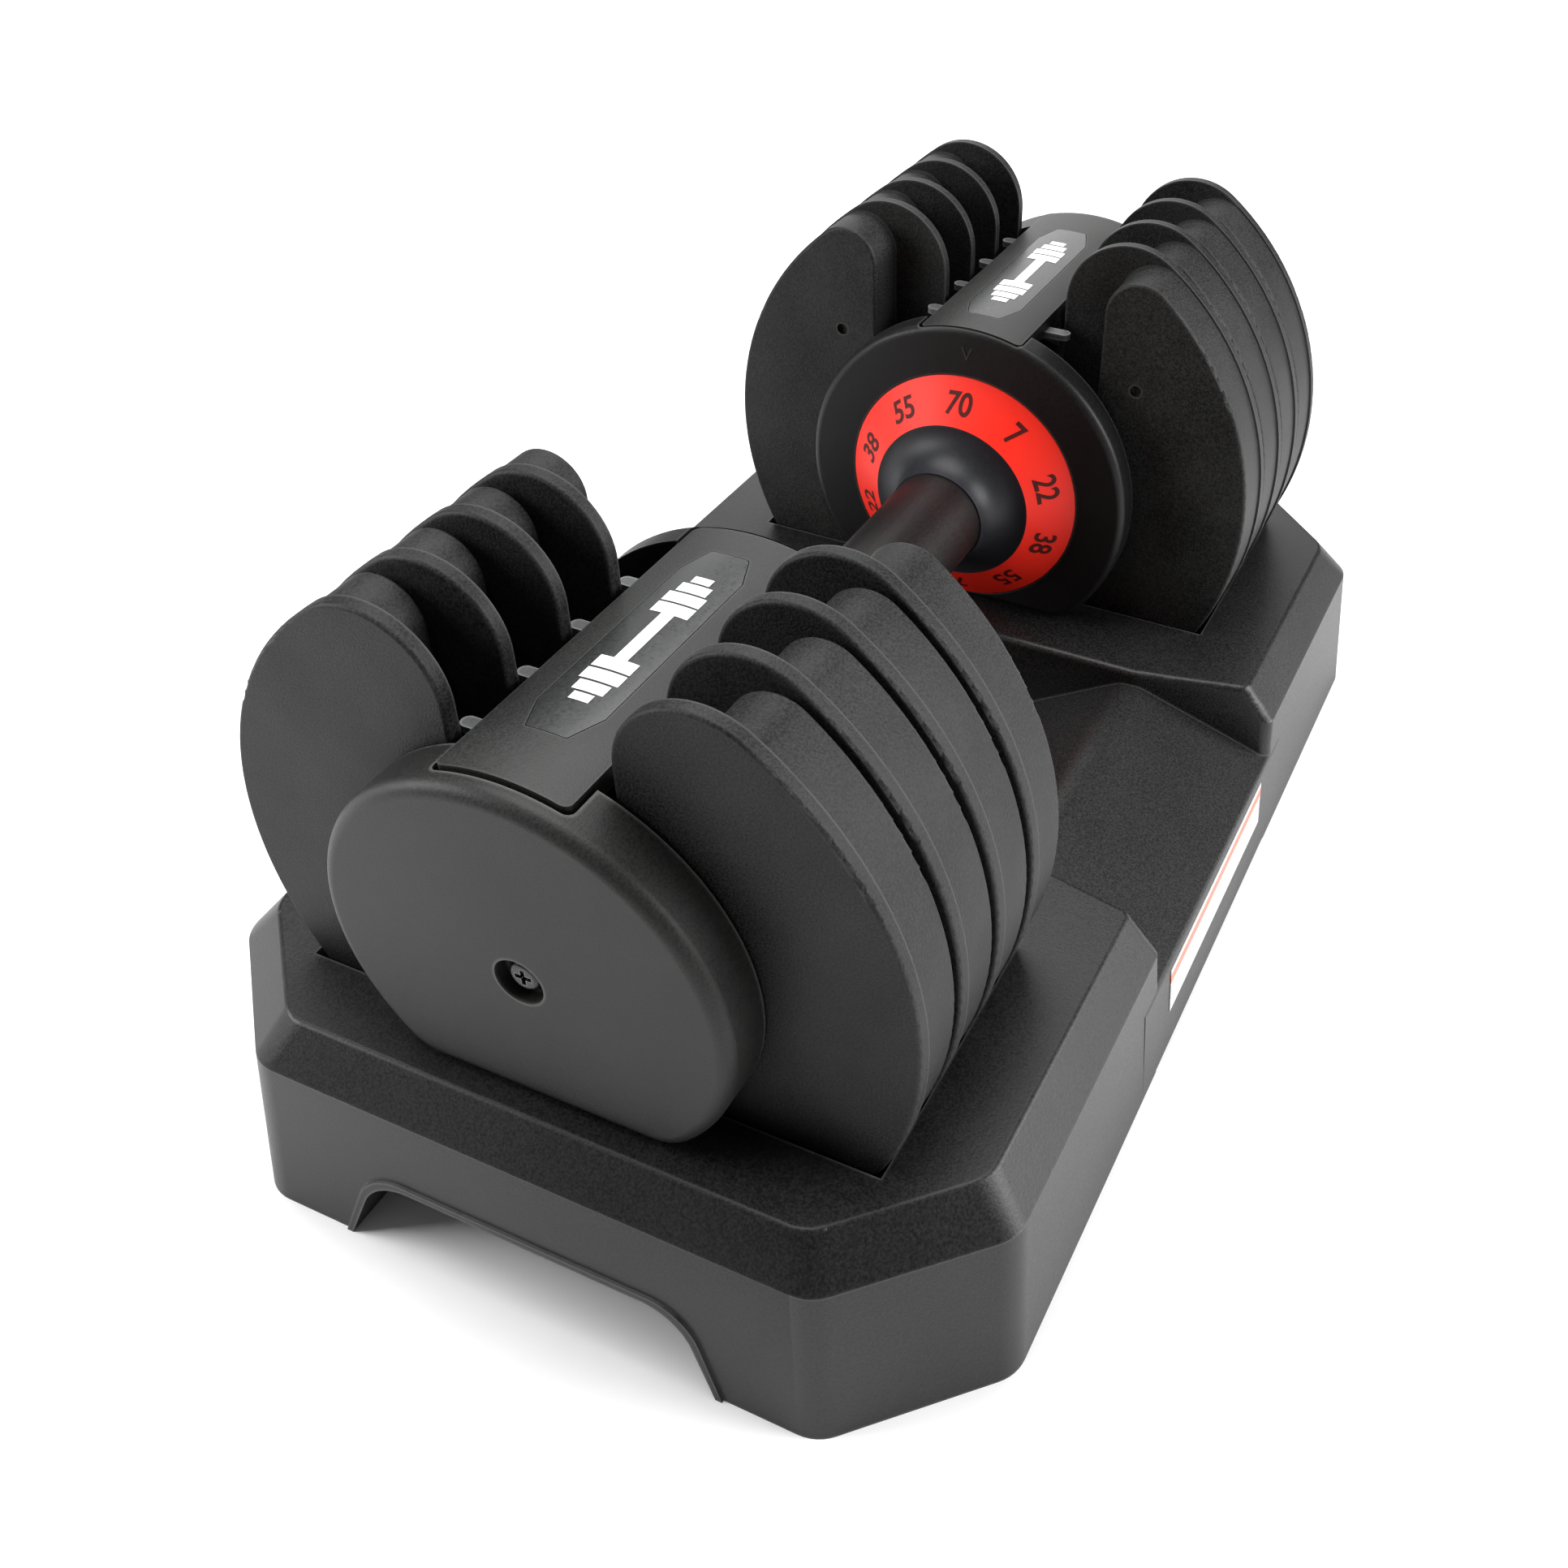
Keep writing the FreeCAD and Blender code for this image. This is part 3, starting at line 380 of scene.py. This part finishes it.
slope = Vector((RING_OUT_X - RING_IN_X, RING_OUT_R - RING_IN_R))
band = slope.length
slope.normalize()
for side, sign in SIDES:
    points, faces = [], []
    for count, text in enumerate(WEIGHTS):
        flat, outline = digits_flat(text)
        start = len(points)
        for u, v in flat:
            along = MID_SHARE * band + v
            x = RING_IN_X + slope.x * along - slope.y * PRINT_LIFT
            r = RING_IN_R + slope.y * along + slope.x * PRINT_LIFT
            angle = STEP * count + sign * u / r
            points.append((sign * x, -math.sin(angle) * r, AXIS.z + math.cos(angle) * r))
        faces += [tuple(start + i for i in face) for face in outline]
    mesh = bpy.data.meshes.new("dial_numbers_" + side)
    mesh.from_pydata(points, [], faces)
    mesh.materials.append(ink)
    numbers = bpy.data.objects.new("dial_numbers_" + side, mesh)
    bpy.context.scene.collection.objects.link(numbers)
    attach(numbers, "rotor")

# ---- Inner bezels ----
# Thick nylon discs around the dials, screwed to the comb behind them.
# Near black and finely grained, with a raised index mark on top; the rounded rim is hardly paler, a little
# wear and a painted highlight.
bezel_nylon = moulded("black_bezel_nylon", "#060505", "#0e0d0d", "#3a3a39", 0.8, 0.06, 0.45, 1.2, sheen=0.3)
MARK_H = 0.0050
MARK_W = 0.0042
MARK_BAR = 0.0006
MARK_RISE = 0.00025
MARK_OFF_DIAL = 0.0065
SLANT = 1.1
for side, sign in SIDES:
    bezel = softened("inner_bezel_" + side, 0.6)
    bezel.data.materials.append(bezel_nylon)
    face_x = sign * (RING_OUT_X - MARK_RISE)
    foot_z = AXIS.z + RING_OUT_R + MARK_OFF_DIAL
    inner = MARK_W / 2 - MARK_BAR * SLANT
    outline = [(0, 0), (MARK_W / 2, MARK_H), (inner, MARK_H), (0, MARK_BAR * 2 * SLANT), (-inner, MARK_H),
               (-MARK_W / 2, MARK_H)]
    form = bmesh.new()
    verts = [form.verts.new((face_x, y, foot_z + z)) for y, z in outline]
    face = form.faces.new(verts)
    depth = bmesh.ops.extrude_face_region(form, geom=[face])
    back = [item for item in depth["geom"] if isinstance(item, bmesh.types.BMVert)]
    bmesh.ops.translate(form, verts=back, vec=(sign * MARK_RISE * 2, 0, 0))
    bmesh.ops.recalc_face_normals(form, faces=form.faces)
    mesh = bpy.data.meshes.new("index_mark_" + side)
    form.to_mesh(mesh)
    form.free()
    mesh.materials.append(bezel_nylon)
    mark = bpy.data.objects.new("index_mark_" + side, mesh)
    bpy.context.scene.collection.objects.link(mark)
    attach(mark, "frame")

# ---- Outer caps and their screws ----
# Domed-edge nylon shells that close each end, each held by one black cross-head screw in a deep well.
# A neutral dark grey with an even fine grain, paler on rounded edges as wear and as painted highlight; the
# screw is blackened steel that glints on its crown, partly by its gloss and partly by a painted highlight
# on its pale edges.
cap_nylon = moulded("warm_cap_nylon", "#131313", "#262625", "#565654", 0.7, 0.12, 0.48, 1.8, sheen=0.3)
blackened = moulded("blackened_steel", "#101010", "#1c1c1c", "#77777a", 0.7, 0.02, 0.25, 0.5)
for side, _ in SIDES:
    cap = softened("outer_cap_" + side, 0.5)
    cap.data.materials.append(cap_nylon)
finish_nodes(["cap_screw_left", "cap_screw_right"], blackened)

# ---- Top bridges and badges ----
# Curved nylon straps that tie bezel to cap, with a smoother, glossier enamelled badge let into each.
# The badge carries a white printed pictogram of a dumbbell.
bridge_nylon = moulded("warm_bridge_nylon", "#151515", "#282827", "#3c3c3b", 0.7, 0.10, 0.48, 1.0,
                       sheen=0.4)
badge_enamel = moulded("badge_enamel", "#1d1f1e", "#232524", "#232524", 1.2, 0.002, 0.30, 0.5, sheen=0.7)
white_print, shader, place = begin("white_print", 0.4)
tint = add(white_print, "TexNoise", {"Vector": place, "Scale": 300.0}).outputs["Fac"]
shade = add(white_print, "Mix", {0: tint, 6: srgb("#efefef"), 7: srgb("#fbfbfb")}, data_type="RGBA")
feed(white_print, shader, Base_Color=shade.outputs[2])
# One half of the pictogram: from and to along the badge, and half width, in millimetres from its middle.
PICTOGRAM = ((0.0, 11.5, 2.0), (11.5, 16.5, 5.9), (17.3, 22.0, 5.9), (22.8, 27.0, 4.7), (27.8, 31.0, 3.0))
PRINT_ROWS = 6
for side, _ in SIDES:
    bridge = softened("top_bridge_" + side, 0.5)
    bridge.data.materials.append(bridge_nylon)
    low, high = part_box("badge_plate_" + side)
    middle_x = (low.x + high.x) / 2
    radius = high.z - AXIS.z + PRINT_LIFT
    points, faces = [], []
    for x0, x1, half_mm in PICTOGRAM:
        for way in (-1, 1):
            start = len(points)
            for k in range(PRINT_ROWS + 1):
                angle = half_mm * (2 * k / PRINT_ROWS - 1) / 1000 / radius
                y, z = math.sin(angle) * radius, AXIS.z + math.cos(angle) * radius
                points += [(middle_x + way * x / 1000, y, z) for x in (x0, x1)]
            for low in range(start, start + 2 * PRINT_ROWS, 2):
                faces.append((low, low + 1, low + 3, low + 2)[::way])
    mesh = bpy.data.meshes.new("badge_print_" + side)
    mesh.from_pydata(points, [], faces)
    mesh.materials.append(white_print)
    badge_print = bpy.data.objects.new("badge_print_" + side, mesh)
    bpy.context.scene.collection.objects.link(badge_print)
    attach(badge_print, "frame")
finish_nodes(["badge_plate_left", "badge_plate_right"], badge_enamel)

# ---- Spacer combs ----
# Nylon spines with one disc-shaped web for each plate; only their round-ended ears show.
# Natural grey nylon, a shade lighter than everything round it.
comb_nylon = moulded("grey_comb_nylon", "#4c4d4d", "#5c5d5d", "#7a7b7b", 0.9, 0.05, 0.5)
finish_nodes(["spacer_comb_left", "spacer_comb_right"], comb_nylon)

# ---- Rod, tube and selector ----
# A ground steel rod inside a drawn steel tube, with sintered bronze bushes, nylon selector discs,
# zinc-plated index wheels and sliders, and springs of drawn wire.


def metal(name, dark, light, roughness, streak_mm):
    """Worked metal with fine turned or drawn marks round the handle axis."""
    material, shader, place = begin(name, roughness, metallic=1.0)
    marks = add(material, "Mapping", {"Vector": place, "Scale": (1000 / streak_mm, 40, 40)}).outputs[0]
    streak = add(material, "TexNoise", {"Vector": marks, "Scale": 1.0, "Detail": 3.0}).outputs["Fac"]
    shade = add(material, "Mix", {0: streak, 6: srgb(dark), 7: srgb(light)}, data_type="RGBA").outputs[2]
    spread = {"Value": streak, "To Min": roughness - 0.07, "To Max": roughness + 0.07}
    matt = add(material, "MapRange", spread).outputs["Result"]
    feed(material, shader, Base_Color=shade, Roughness=matt)
    return material


finish_nodes(["core_rod"], metal("ground_steel", "#a9a9ab", "#c3c3c6", 0.25, 0.4))
finish_nodes(["handle_tube"], metal("drawn_steel", "#9a9a9d", "#b4b4b8", 0.32, 0.6))
zinc = metal("zinc_plate", "#b3b4b6", "#c9cacd", 0.35, 1.5)
wire = metal("spring_wire", "#8e8e92", "#a6a6aa", 0.3, 0.5)
bronze = metal("sintered_bronze", "#8a6a3c", "#a37f4c", 0.5, 0.8)
selector_nylon = moulded("selector_nylon", "#2a2b2c", "#333436", "#444547", 1.0, 0.04, 0.45)
for side, _ in SIDES:
    finish_nodes(["end_bush_" + side], bronze)
    finish_nodes(["index_wheel_" + side, "lock_slider_" + side], zinc)
    finish_nodes(["lock_spring_" + side], wire)
    for index in range(1, 5):
        finish_nodes(["selector_disc_%d_%s" % (index, side)], selector_nylon)
